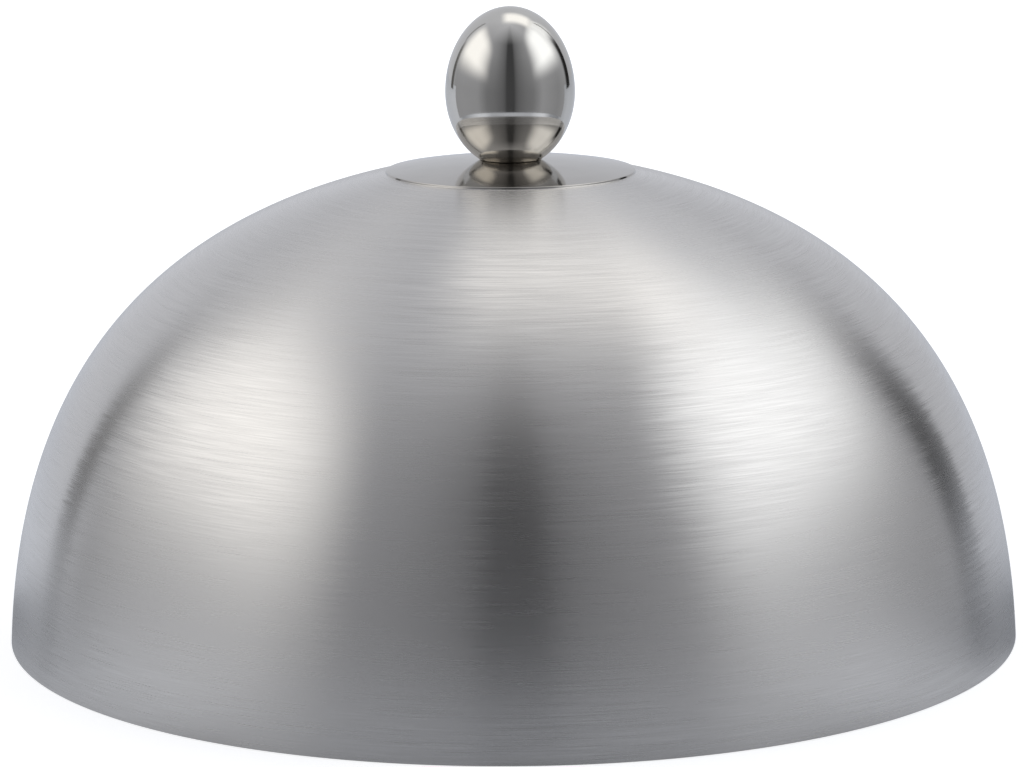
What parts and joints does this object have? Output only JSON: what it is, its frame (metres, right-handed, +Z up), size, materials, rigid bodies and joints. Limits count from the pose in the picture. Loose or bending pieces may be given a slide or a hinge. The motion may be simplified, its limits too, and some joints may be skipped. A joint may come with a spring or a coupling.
{
  "type": "domed food cover",
  "caption": "Round brushed stainless-steel dome that covers a plate of food, lifted by a polished hollow ball knob on its mirror-polished crown.",
  "frame": {"origin": "centre of the rim, on the plane the cover rests on", "axes": "+Z up along the dome's axis, through the knob; the cover is round, so +X and +Y are free, and the screw's cross recess lies along them"},
  "size_m": [0.24, 0.24, 0.1487],
  "materials": {
    "brushed_steel": "satin",
    "polished_steel": "polished",
    "fastener_steel": "satin"
  },
  "bodies": {
    "root": {"dome_shell": "brushed_steel", "knob_cap": "polished_steel", "knob_cup": "polished_steel", "knob_boss": "fastener_steel", "fixing_screw": "fastener_steel", "flat_washer": "fastener_steel", "spring_washer": "fastener_steel"}
  },
  "joints": []
}
